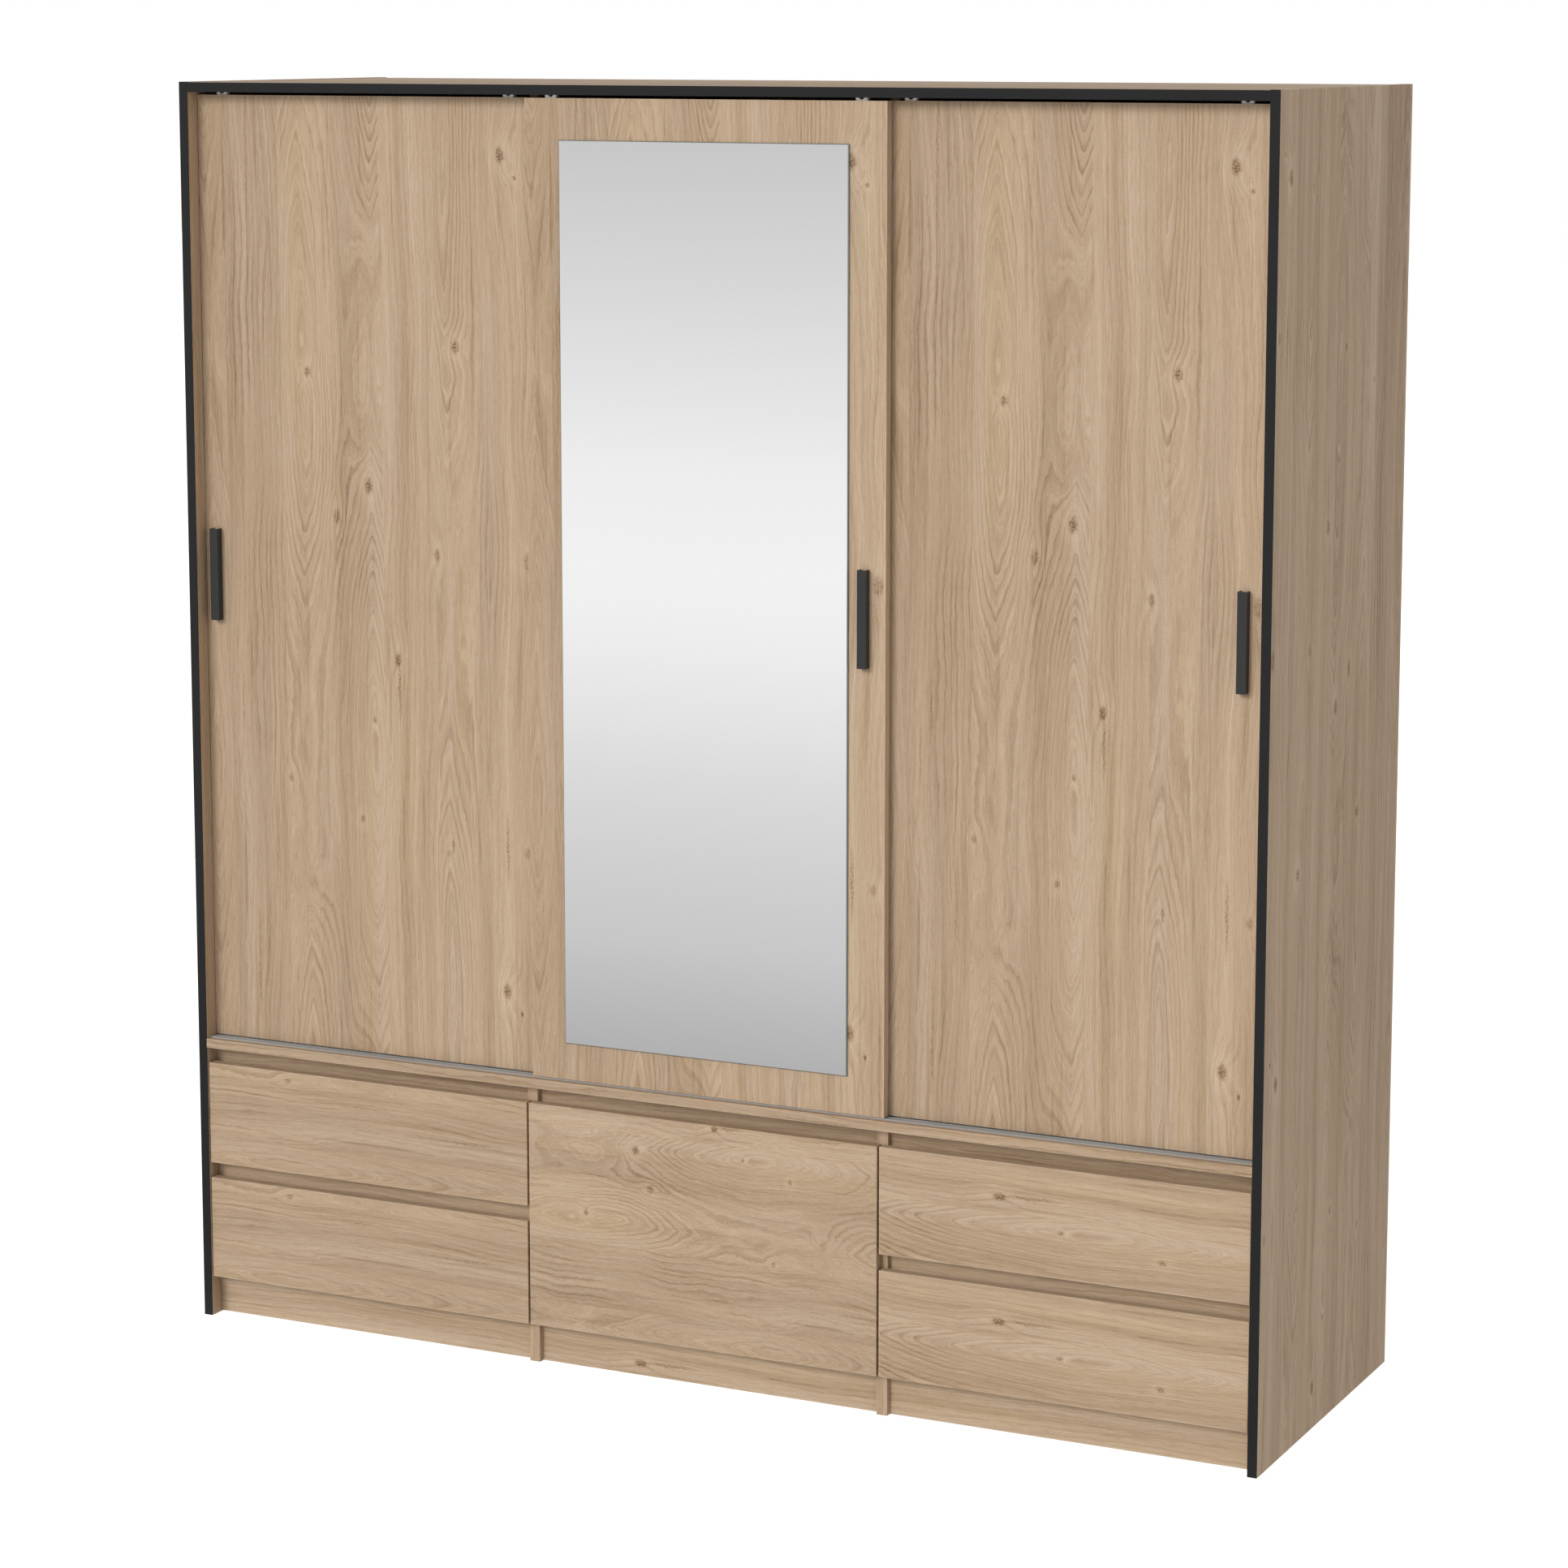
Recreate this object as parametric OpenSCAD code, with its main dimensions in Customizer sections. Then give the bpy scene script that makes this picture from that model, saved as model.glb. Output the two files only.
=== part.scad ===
// Sliding door wardrobe: a board carcass with three doors that roll on two lanes,
// a mirror on the middle door and a lower bank of five drawers.
// +X runs to the right seen from the front, +Y to the back, +Z up.
// The origin is the middle of the footprint, on the floor.

/* [Carcass] */
// Overall width across the side panels
body_w = 1820; // [1600:10:2100]
// Overall height of the side panels
body_h = 2004; // [1900:1:2200]
// Depth of the side panels
body_d = 604; // [600:1:650]
// Thickness of the side panels, top, shelves and upper dividers
board_t = 15; // [15:1:18]
// Thickness of the two lower dividers
divider_t = 18; // [16:1:19]
// Thickness of the black strips on the front edges
edge_t = 1.5; // [1:0.5:2]
// Thickness of the back sheets
back_t = 3; // [3:1:4]
// How far the top panel lies below the side panels' upper ends
top_drop = 0.8; // [0:0.1:3]

/* [Levels] */
// How far the plinths and the rails behind the finger gaps are set back
recess = 29.5; // [28:0.5:34]
// Height of the long shelf's underside above the floor
shelf_z = 450; // [440:1:470]
// Height of each small drawer front
small_front_h = 167; // [160:1:172]
// Open height above each drawer front, for the fingers
grip_gap = 25; // [20:0.5:30]
// Gap between the plinths and the floor
plinth_lift = 1; // [1:1:5]
// Height of the bottom boards' upper face
bottom_board_z = 70; // [66:1:76]

/* [Doors] */
// Thickness of each door
door_t = 16; // [16:1:18]
// How far the front door's face lies behind the carcass front
door_inset = 8; // [6:1:10]
// Distance between the two lanes' centre planes
lane_pitch = 20; // [20:1:24]
// Gap between a door's lower edge and the long shelf
door_gap_low = 3.4; // [3:0.1:5]
// Gap between a door's upper edge and the top panel
door_gap_high = 4.6; // [4:0.1:6]
// Gap between an outer door and its side panel
door_side_gap = 1; // [1:0.5:3]
// How far neighbouring doors overlap when they stand evenly
door_overlap = 9; // [8:0.5:20]
// How far right of even the middle door stands
middle_door_shift = 7.5; // [0:0.5:8]
// Width of the mirror
mirror_w = 482; // [400:1:510]
// Height of the mirror
mirror_h = 1394; // [1200:1:1420]
// Thickness of the mirror glass
mirror_t = 4; // [3:1:5]

/* [Handles] */
// Height of each handle
handle_h = 147; // [100:1:200]
// Width of each handle
handle_w = 14.5; // [12:0.5:18]
// How far a handle stands out from its door
handle_depth = 13; // [11:0.5:16]
// Wall of the channel that a handle is folded from
handle_wall = 1.6; // [1.2:0.1:2]
// Height of the middle of the handles and of the mirror above the floor
handle_z = 1224; // [1200:1:1240]
// Distance from the left door's outer edge to its handle's middle
handle_inset_left = 21.8; // [15:0.1:40]
// Distance from the middle and right doors' right edges to their handles' middles
handle_inset_right = 33.5; // [20:0.1:40]

/* [Rollers and guides] */
// Radius of each door roller
wheel_r = 10; // [8:0.5:11]
// Width of each door roller
wheel_w = 6; // [5:0.5:6]
// Radius of each roller's axle
axle_r = 2; // [1.5:0.1:2.5]
// Radial running clearance of a roller on its axle
axle_clearance = 0.05; // [0.02:0.01:0.1]
// Distance from a door's edge to its roller's middle
roller_inset = 70; // [50:1:100]
// Distance from a door's edge to its upper guide's middle
guide_inset = 43; // [30:1:60]
// Width of each upper guide
guide_w = 18.5; // [16:0.5:22]
// Thickness of each upper guide
guide_t = 8; // [6:0.5:8]

/* [Drawers] */
// How far the drawer fronts lie behind the carcass front
front_inset = 3; // [2:1:5]
// Thickness of the drawer fronts
front_t = 16; // [16:1:18]
// Gap between neighbouring drawer fronts
front_gap = 3.6; // [2:0.1:5]
// Gap between an outer drawer front and its side panel
front_side_gap = 1.5; // [1:0.5:3]
// Thickness of the drawer sides and backs
box_t = 12; // [12:1:15]
// Thickness of the drawer bottoms
box_bottom_t = 3; // [3:0.5:5]
// Depth of a drawer box behind its front
box_d = 530; // [500:5:545]
// Height of the small drawers' sides
box_h = 95; // [80:1:100]
// Space for a runner at each side of a drawer box
runner_space = 13; // [13:0.5:15]
// Length of each runner member
runner_l = 500; // [450:10:500]

/* [Inside] */
// Height of the two hat shelves' undersides above the long shelf
hat_shelf_rise = 1180; // [1000:10:1250]
// Number of shelves in the middle bay
middle_shelf_count = 4; // [2:1:5]
// Radius of the clothes rails
rail_r = 12.5; // [10:0.5:15]
// Distance from a hat shelf down to its clothes rail's axis
rail_drop = 50; // [40:1:70]

/* [Hidden] */
$fn = 48;
fit_gap = 0.1;
overshoot = 1;

// Widths, from the carcass inwards
clear_w = body_w - 2 * board_t;
column_w = (clear_w - 2 * divider_t) / 3;
divider_x = (column_w + divider_t) / 2;
column_x = column_w + divider_t;

// Depths: the middle door's handle stands out in front of the carcass
handle_proud = handle_depth - door_inset;
front_y = handle_proud - (body_d + handle_proud) / 2;
back_y = front_y + body_d;
strip_flange_t = 1;
back_sheet_y = back_y - strip_flange_t - back_t;
recess_y = front_y + recess;
lane_y = [front_y + door_inset + door_t / 2, front_y + door_inset + door_t / 2 + lane_pitch];

// Levels, from the top down
roof_z = body_h - top_drop;
top_z = roof_z - board_t;
shelf_top_z = shelf_z + board_t;
upper_front_z = shelf_z - grip_gap - small_front_h;
lower_front_z = upper_front_z - grip_gap - small_front_h;
tall_front_h = upper_front_z + small_front_h - lower_front_z;

// Doors
door_z = shelf_top_z + door_gap_low;
door_h = top_z - door_gap_high - door_z;
door_w = (clear_w - 2 * door_side_gap + 2 * door_overlap) / 3;
left_door_x = -clear_w / 2 + door_side_gap + door_w / 2;
right_door_x = -left_door_x;

// Bottom track and rollers: the rollers run a little behind the doors' centre planes
roller_offset = 2;
track_t = 1.2;
track_rib_h = 2.6;
track_rib_t = 1.1;
lane_w = 7.6;
track_setback = 9.5;
track_tail = 8.5;
track_y0 = front_y + track_setback;
track_y1 = lane_y[1] + track_tail;
wheel_lift = 0.3;
wheel_z = shelf_top_z + track_t + wheel_lift + wheel_r;
housing_w = 46;
housing_t = 12;
housing_h = 30;
wheel_room = 3;
wheel_side_room = 0.5;
wheel_slot_w = 2 * (wheel_r + wheel_room);
wheel_slot_t = wheel_w + 2 * wheel_side_room;
axle_bite = 1;
tyre_chamfer = 0.8;

// Upper guides and the lined grooves that they run in
groove_depth = 9;
liner_t = 1;
guide_side_room = 0.5;
guide_top_room = 1.5;
groove_w = guide_t + 2 * (guide_side_room + liner_t);
guide_rise = door_gap_high + groove_depth - liner_t - guide_top_room;
guide_stem_r = 4;
guide_stem_l = 20;
guide_notch_r = 4.6;
guide_web_h = 1.6;

// Handle bosses, where screws come through the door
boss_r = 4.5;
boss_share = 0.33;
boss_z = boss_share * handle_h;

// Drawers
box_rise = 23;
box_groove = 6;
box_bottom_rise = 10;
tall_box_h = upper_front_z + box_rise + box_h - lower_front_z - box_rise;
runner_h = 36;
runner_wall = 1.2;
runner_flange = 10;
inner_runner_h = 28;
inner_runner_lead = 3;
runner_setback = 5;
runner_y = front_y + front_inset + front_t + runner_setback;

// Recessed rails behind the finger gaps
recess_rail_h = 60;

// Lower dividers, just behind the drawer fronts
divider_setback = 1;

// Upper fittings
door_back_room = 8;
shelf_setback = 8;
shelf_play = 0.5;
upper_divider_y = lane_y[1] + door_t / 2 + door_back_room;
inner_shelf_y = upper_divider_y + shelf_setback;
hat_shelf_z = shelf_top_z + hat_shelf_rise;
pin_r = 2.5;
pin_depth = 7;
pin_reach = 8;
pin_inset_y = 60;
socket_r = 18;
socket_collar_r = 15;
socket_t = 3;
socket_l = 12;
rail_wall = 1.2;
cam_r = 7.5;
cam_h = 12;
cam_inset = 34;
cam_y = [front_y + 110, back_sheet_y - 70];

// Back sheets, from the bottom boards' undersides to just below the top
sheet_drop = 4;
sheet_low_z = bottom_board_z - board_t;
sheet_top_z = roof_z - sheet_drop;
strip_web_t = 2;
strip_flange_w = 20;
sheet_joint_x = divider_x - strip_web_t / 2;

// Upper bays: left, middle, right
bay_w = 2 * divider_x - board_t;
side_bay_w = clear_w / 2 - divider_x - board_t / 2;
side_bay_x = clear_w / 2 - side_bay_w / 2;
bay_step = (top_z - shelf_top_z) / (middle_shelf_count + 1);
rail_y = (inner_shelf_y + back_sheet_y) / 2;

// Each inner shelf: its middle, its width and the height of its underside
hat_shelves = [for (side = [-1, 1]) [side * side_bay_x, side_bay_w, hat_shelf_z]];
middle_shelves = [
    for (i = [1 : middle_shelf_count]) [0, bay_w, shelf_top_z + i * bay_step - board_t / 2]
];
inner_shelves = concat(hat_shelves, middle_shelves);

wood = [0.76, 0.66, 0.53];
dark_wood = [0.63, 0.54, 0.44];
edge_black = [0.18, 0.19, 0.19];
sheet_grey = [0.86, 0.85, 0.82];
zinc = [0.75, 0.76, 0.77];
plastic_white = [0.88, 0.88, 0.86];

// A board between two opposite corners
module board(low, high) {
    translate(low) cube(high - low);
}

// An outline in the YZ plane, drawn out along X between two places
module run_along_x(x0, x1) {
    translate([x0, 0, 0]) rotate([90, 0, 90]) linear_extrude(x1 - x0) children();
}

// ---- Carcass ----

module pin(x, y, z) {
    translate([x, y, z]) rotate([0, 90, 0]) cylinder(h = pin_depth + pin_reach, r = pin_r);
}

// Four support pins under every inner shelf
module pins() {
    for (s = inner_shelves, y = [inner_shelf_y + pin_inset_y, back_sheet_y - pin_inset_y]) {
        z = s[2] - pin_r - fit_gap;
        pin(s[0] - s[1] / 2 - pin_depth, y, z);
        pin(s[0] + s[1] / 2 - pin_reach, y, z);
    }
}

module side_panel(side) {
    x0 = side < 0 ? -body_w / 2 : clear_w / 2;
    difference() {
        board([x0, front_y + edge_t, 0], [x0 + board_t, back_y, body_h]);
        pins();
    }
}

module side_strips() {
    for (x0 = [-body_w / 2, clear_w / 2]) {
        board([x0, front_y, 0], [x0 + board_t, front_y + edge_t, body_h]);
    }
}

// The cam locks draw the top panel and the long shelf onto the side panels
module cams() {
    for (side = [-1, 1], y = cam_y, z = [top_z, shelf_z]) {
        translate([side * (clear_w / 2 - cam_inset), y, z]) cylinder(h = cam_h, r = cam_r);
    }
}

module top_grooves() {
    for (y = lane_y) {
        board(
            [-clear_w / 2 - overshoot, y - groove_w / 2, top_z - overshoot],
            [clear_w / 2 + overshoot, y + groove_w / 2, top_z + groove_depth]
        );
    }
}

module top_board() {
    difference() {
        board([-clear_w / 2, front_y + edge_t, top_z], [clear_w / 2, back_sheet_y, roof_z]);
        top_grooves();
        cams();
    }
}

// A liner is an upturned channel that fills a groove's walls and roof
module liner(y) {
    w = groove_w / 2;
    inner = w - liner_t;
    run_along_x(-clear_w / 2, clear_w / 2) translate([y, top_z]) polygon([
        [-w, 0], [-w, groove_depth], [w, groove_depth], [w, 0],
        [inner, 0], [inner, groove_depth - liner_t], [-inner, groove_depth - liner_t], [-inner, 0]
    ]);
}

module long_board() {
    difference() {
        board([-clear_w / 2, front_y, shelf_z], [clear_w / 2, back_sheet_y, shelf_top_z]);
        cams();
    }
}

// The bottom track: a flat base with a rib on each side of each lane and a lip at each edge
module track() {
    rib_offset = lane_w / 2 + track_rib_t / 2;
    ribs = concat(
        [track_y0 + track_rib_t / 2, track_y1 - track_rib_t / 2],
        [for (y = lane_y, side = [-1, 1]) y + roller_offset + side * rib_offset]
    );
    run_along_x(-clear_w / 2, clear_w / 2) {
        translate([track_y0, shelf_top_z]) square([track_y1 - track_y0, track_t]);
        for (y = ribs) {
            translate([y - track_rib_t / 2, shelf_top_z]) square([track_rib_t, track_rib_h]);
        }
    }
}

module upper_divider(side) {
    x = side * divider_x;
    difference() {
        board(
            [x - board_t / 2, upper_divider_y, shelf_top_z],
            [x + board_t / 2, back_sheet_y, top_z]
        );
        pins();
    }
}

module lower_divider(side) {
    x = side * divider_x;
    y0 = front_y + front_inset + front_t + divider_setback;
    board([x - divider_t / 2, y0, 0], [x + divider_t / 2, back_sheet_y, shelf_z]);
}

// A board across each of the three columns
module column_boards(columns, y0, y1, z0, z1) {
    for (c = columns) {
        x = c * column_x;
        board([x - column_w / 2, y0, z0], [x + column_w / 2, y1, z1]);
    }
}

module rails_in_recesses() {
    z = upper_front_z - grip_gap / 2;
    column_boards(
        [-1, 0, 1], recess_y, recess_y + board_t, shelf_z - recess_rail_h, shelf_z
    );
    column_boards(
        [-1, 1], recess_y, recess_y + board_t, z - recess_rail_h / 2, z + recess_rail_h / 2
    );
}

// A back sheet from one joint to the next, nailed over the boards' back edges
module back_sheet(x0, x1) {
    board([x0, back_sheet_y, sheet_low_z], [x1, back_sheet_y + back_t, sheet_top_z]);
}

// A joint strip has a web between two sheets and a flange over their edges
module joint_strip(x) {
    web = strip_web_t / 2;
    flange = strip_flange_w / 2;
    flange_y = back_sheet_y + back_t;
    board([x - web, back_sheet_y, sheet_low_z], [x + web, flange_y, sheet_top_z]);
    board([x - flange, flange_y, sheet_low_z], [x + flange, back_y, sheet_top_z]);
}

module inner_shelf(s) {
    half = s[1] / 2 - shelf_play;
    board(
        [s[0] - half, inner_shelf_y, s[2]],
        [s[0] + half, back_sheet_y - shelf_play, s[2] + board_t]
    );
}

module clothes_rail(side) {
    half = side_bay_w / 2 - socket_t;
    translate([side * side_bay_x - half, rail_y, hat_shelf_z - rail_drop]) rotate([0, 90, 0])
        difference() {
            cylinder(h = 2 * half, r = rail_r);
            translate([0, 0, -overshoot])
                cylinder(h = 2 * half + 2 * overshoot, r = rail_r - rail_wall);
        }
}

// A socket is a flange with a collar around the rail's end, here opening along +Z
module rail_socket() {
    difference() {
        union() {
            cylinder(h = socket_t, r = socket_r);
            cylinder(h = socket_l, r = socket_collar_r);
        }
        translate([0, 0, socket_t]) cylinder(h = socket_l, r = rail_r + fit_gap);
    }
}

module sockets() {
    for (side = [-1, 1], end = [-1, 1]) {
        x = side * side_bay_x + end * side_bay_w / 2;
        translate([x, rail_y, hat_shelf_z - rail_drop]) rotate([0, -90 * end, 0]) rail_socket();
    }
}

// ---- Drawer runners ----

// A channel of a runner, its web at x = 0 and its flanges towards +X
module runner_channel(h, flange) {
    run_length = runner_l;
    rotate([-90, 0, 0]) linear_extrude(run_length) polygon([
        [0, -h / 2], [flange, -h / 2], [flange, -h / 2 + runner_wall],
        [runner_wall, -h / 2 + runner_wall], [runner_wall, h / 2 - runner_wall],
        [flange, h / 2 - runner_wall], [flange, h / 2], [0, h / 2]
    ]);
}

// The two fixed members of one drawer, on the walls of its column
module fixed_pair(column, z) {
    for (side = [-1, 1]) {
        translate([column * column_x + side * column_w / 2, runner_y, z])
            mirror([side > 0 ? 1 : 0, 0, 0]) runner_channel(runner_h, runner_flange);
    }
}

// The two moving members of one drawer, on the sides of its box
module moving_pair(column, z) {
    for (side = [-1, 1]) {
        x = column * column_x + side * (column_w / 2 - runner_space);
        translate([x, runner_y - inner_runner_lead, z])
            mirror([side < 0 ? 1 : 0, 0, 0]) runner_channel(inner_runner_h, runner_flange);
    }
}

upper_runner_z = upper_front_z + box_rise + box_h / 2;
lower_runner_z = lower_front_z + box_rise + box_h / 2;
middle_runner_z = lower_front_z + box_rise + tall_box_h / 3;

module fixed_runners() {
    for (column = [-1, 1], z = [upper_runner_z, lower_runner_z]) {
        fixed_pair(column, z);
    }
    fixed_pair(0, middle_runner_z);
}

// ---- Drawers ----

// The bottom sheet of one drawer, grown by a clearance where it is cut out of a groove
module drawer_bottom(column, z, grow) {
    half = column_w / 2 - runner_space - box_t + box_groove - fit_gap;
    y0 = front_y + front_inset + front_t - box_groove + fit_gap;
    y1 = front_y + front_inset + front_t + box_d;
    x = column * column_x;
    z0 = z + box_rise + box_bottom_rise;
    board(
        [x - half - grow, y0 - grow, z0 - grow],
        [x + half + grow, y1 + grow, z0 + box_bottom_t + grow]
    );
}

module drawer_front(column, z, h) {
    x_in = divider_x - front_gap / 2;
    x_out = clear_w / 2 - front_side_gap;
    x0 = column < 0 ? -x_out : column > 0 ? divider_x + front_gap / 2 : -x_in;
    x1 = column > 0 ? x_out : column < 0 ? -divider_x - front_gap / 2 : x_in;
    y0 = front_y + front_inset;
    difference() {
        board([x0, y0, z], [x1, y0 + front_t, z + h]);
        drawer_bottom(column, z, fit_gap);
    }
}

module drawer_box(column, z, h) {
    x = column * column_x;
    half = column_w / 2 - runner_space;
    y0 = front_y + front_inset + front_t;
    y1 = y0 + box_d;
    z0 = z + box_rise;
    back_z = z0 + box_bottom_rise + box_bottom_t + fit_gap;
    difference() {
        for (side = [-1, 1]) {
            x0 = x + (side < 0 ? -half : half - box_t);
            board([x0, y0, z0], [x0 + box_t, y1, z0 + h]);
        }
        drawer_bottom(column, z, fit_gap);
    }
    board(
        [x - half + box_t + fit_gap, y1 - box_t, back_z],
        [x + half - box_t - fit_gap, y1, z0 + h]
    );
    drawer_bottom(column, z, 0);
}

// ---- Doors ----

// A roller housing's outer block, open below, standing in a pocket at the door's back
module housing_block(x, lane) {
    y1 = lane_y[lane] + door_t / 2;
    board([x - housing_w / 2, y1 - housing_t, door_z], [x + housing_w / 2, y1, door_z + housing_h]);
}

module guide_stem(x, lane) {
    translate([x, lane_y[lane], door_z + door_h - guide_stem_l])
        cylinder(h = guide_stem_l, r = guide_stem_r);
}

module door_panel(x, lane) {
    difference() {
        board(
            [x - door_w / 2, lane_y[lane] - door_t / 2, door_z],
            [x + door_w / 2, lane_y[lane] + door_t / 2, door_z + door_h]
        );
        for (side = [-1, 1]) {
            housing_block(x + side * (door_w / 2 - roller_inset), lane);
            guide_stem(x + side * (door_w / 2 - guide_inset), lane);
        }
    }
}

// A guide: a stem in the door's edge and a tongue with two horns that runs in the groove
module guide(x, lane) {
    z = door_z + door_h;
    notch_z = z + guide_web_h + guide_notch_r;
    guide_stem(x, lane);
    difference() {
        board(
            [x - guide_w / 2, lane_y[lane] - guide_t / 2, z],
            [x + guide_w / 2, lane_y[lane] + guide_t / 2, z + guide_rise]
        );
        translate([x, lane_y[lane] + guide_t, notch_z]) rotate([90, 0, 0])
            cylinder(h = 2 * guide_t, r = guide_notch_r);
        board(
            [x - guide_notch_r, lane_y[lane] - guide_t, notch_z],
            [x + guide_notch_r, lane_y[lane] + guide_t, z + guide_rise + overshoot]
        );
    }
}

// A housing: the block with a slot for the roller, and the axle across the slot
module housing(x, lane) {
    y = lane_y[lane] + roller_offset;
    difference() {
        housing_block(x, lane);
        board(
            [x - wheel_slot_w / 2, y - wheel_slot_t / 2, door_z - overshoot],
            [x + wheel_slot_w / 2, y + wheel_slot_t / 2, wheel_z + wheel_slot_w / 2]
        );
    }
    translate([x, y + wheel_slot_t / 2 + axle_bite, wheel_z]) rotate([90, 0, 0])
        cylinder(h = wheel_slot_t + 2 * axle_bite, r = axle_r);
}

// A roller: a disc with chamfered rims and a bore
module wheel(x, lane) {
    half = wheel_w / 2;
    bore = axle_r + axle_clearance;
    translate([x, lane_y[lane] + roller_offset, wheel_z]) rotate([90, 0, 0]) rotate_extrude() polygon([
        [bore, -half], [wheel_r - tyre_chamfer, -half], [wheel_r, -half + tyre_chamfer],
        [wheel_r, half - tyre_chamfer], [wheel_r - tyre_chamfer, half], [bore, half]
    ]);
}

// A handle: a channel with open ends, closed side forward, on two screw bosses
module handle(x, lane) {
    y_door = lane_y[lane] - door_t / 2;
    y_plate = y_door - handle_depth + handle_wall;
    inner = handle_w / 2 - handle_wall;
    difference() {
        board(
            [x - handle_w / 2, y_door - handle_depth, handle_z - handle_h / 2],
            [x + handle_w / 2, y_door, handle_z + handle_h / 2]
        );
        board(
            [x - inner, y_plate, handle_z - handle_h / 2 - overshoot],
            [x + inner, y_door + overshoot, handle_z + handle_h / 2 + overshoot]
        );
    }
    for (z = [-boss_z, boss_z]) {
        translate([x, y_door, handle_z + z]) rotate([90, 0, 0])
            cylinder(h = handle_depth - handle_wall / 2, r = boss_r);
    }
}

module mirror_glass(x, lane) {
    y1 = lane_y[lane] - door_t / 2;
    board(
        [x - mirror_w / 2, y1 - mirror_t, handle_z - mirror_h / 2],
        [x + mirror_w / 2, y1, handle_z + mirror_h / 2]
    );
}

module door_guides(x, lane) {
    for (side = [-1, 1]) guide(x + side * (door_w / 2 - guide_inset), lane);
}

module door_housings(x, lane) {
    for (side = [-1, 1]) housing(x + side * (door_w / 2 - roller_inset), lane);
}

module door_wheel(x, lane, side) {
    wheel(x + side * (door_w / 2 - roller_inset), lane);
}

// ---- One module per sub-part ----

module side_panel_left() { color(dark_wood) side_panel(-1); }
module side_panel_right() { color(dark_wood) side_panel(1); }
module side_edge_strips() { color(edge_black) side_strips(); }
module top_panel() { color(dark_wood) top_board(); }
module top_edge_strip() {
    color(edge_black)
        board([-clear_w / 2, front_y, top_z], [clear_w / 2, front_y + edge_t, roof_z]);
}
module top_track_liners() { color(zinc) for (y = lane_y) liner(y); }
module long_shelf() { color(wood) long_board(); }
module bottom_track() { color(zinc) track(); }
module upper_divider_left() { color(wood) upper_divider(-1); }
module upper_divider_right() { color(wood) upper_divider(1); }
module lower_divider_left() { color(wood) lower_divider(-1); }
module lower_divider_right() { color(wood) lower_divider(1); }
module bottom_boards() {
    color(wood) column_boards(
        [-1, 0, 1], recess_y + board_t, back_sheet_y, bottom_board_z - board_t, bottom_board_z
    );
}
module plinths() {
    color(wood)
        column_boards([-1, 0, 1], recess_y, recess_y + board_t, plinth_lift, bottom_board_z);
}
module recess_rails() { color(wood) rails_in_recesses(); }
module back_sheet_left() { color(sheet_grey) back_sheet(-clear_w / 2, -sheet_joint_x - strip_web_t); }
module back_sheet_middle() { color(sheet_grey) back_sheet(-sheet_joint_x, sheet_joint_x); }
module back_sheet_right() { color(sheet_grey) back_sheet(sheet_joint_x + strip_web_t, clear_w / 2); }
module back_joint_strips() {
    color(plastic_white) for (side = [-1, 1]) joint_strip(side * divider_x);
}
module shelves_inside() { color(wood) for (s = inner_shelves) inner_shelf(s); }
module shelf_pins() { color(zinc) pins(); }
module clothes_rails() { color(zinc) for (side = [-1, 1]) clothes_rail(side); }
module rail_sockets() { color(zinc) sockets(); }
module cam_locks() { color(zinc) cams(); }
module runners_fixed() { color(zinc) fixed_runners(); }

module door_left_panel() { color(wood) door_panel(left_door_x, 1); }
module door_left_handle() {
    color(edge_black) handle(left_door_x - door_w / 2 + handle_inset_left, 1);
}
module door_left_guides() { color(plastic_white) door_guides(left_door_x, 1); }
module door_left_housings() { color(plastic_white) door_housings(left_door_x, 1); }
module door_left_wheel_a() { color(plastic_white) door_wheel(left_door_x, 1, -1); }
module door_left_wheel_b() { color(plastic_white) door_wheel(left_door_x, 1, 1); }

module door_middle_panel() { color(wood) door_panel(middle_door_shift, 0); }
module door_middle_mirror() { color([0.85, 0.87, 0.88]) mirror_glass(middle_door_shift, 0); }
module door_middle_handle() {
    color(edge_black) handle(middle_door_shift + door_w / 2 - handle_inset_right, 0);
}
module door_middle_guides() { color(plastic_white) door_guides(middle_door_shift, 0); }
module door_middle_housings() { color(plastic_white) door_housings(middle_door_shift, 0); }
module door_middle_wheel_a() { color(plastic_white) door_wheel(middle_door_shift, 0, -1); }
module door_middle_wheel_b() { color(plastic_white) door_wheel(middle_door_shift, 0, 1); }

module door_right_panel() { color(wood) door_panel(right_door_x, 1); }
module door_right_handle() {
    color(edge_black) handle(right_door_x + door_w / 2 - handle_inset_right, 1);
}
module door_right_guides() { color(plastic_white) door_guides(right_door_x, 1); }
module door_right_housings() { color(plastic_white) door_housings(right_door_x, 1); }
module door_right_wheel_a() { color(plastic_white) door_wheel(right_door_x, 1, -1); }
module door_right_wheel_b() { color(plastic_white) door_wheel(right_door_x, 1, 1); }

module drawer_left_upper_front() {
    color(wood) drawer_front(-1, upper_front_z, small_front_h);
}
module drawer_left_upper_box() { color(sheet_grey) drawer_box(-1, upper_front_z, box_h); }
module drawer_left_upper_runners() { color(zinc) moving_pair(-1, upper_runner_z); }
module drawer_left_lower_front() {
    color(wood) drawer_front(-1, lower_front_z, small_front_h);
}
module drawer_left_lower_box() { color(sheet_grey) drawer_box(-1, lower_front_z, box_h); }
module drawer_left_lower_runners() { color(zinc) moving_pair(-1, lower_runner_z); }
module drawer_middle_front() { color(wood) drawer_front(0, lower_front_z, tall_front_h); }
module drawer_middle_box() { color(sheet_grey) drawer_box(0, lower_front_z, tall_box_h); }
module drawer_middle_runners() { color(zinc) moving_pair(0, middle_runner_z); }
module drawer_right_upper_front() {
    color(wood) drawer_front(1, upper_front_z, small_front_h);
}
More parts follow.
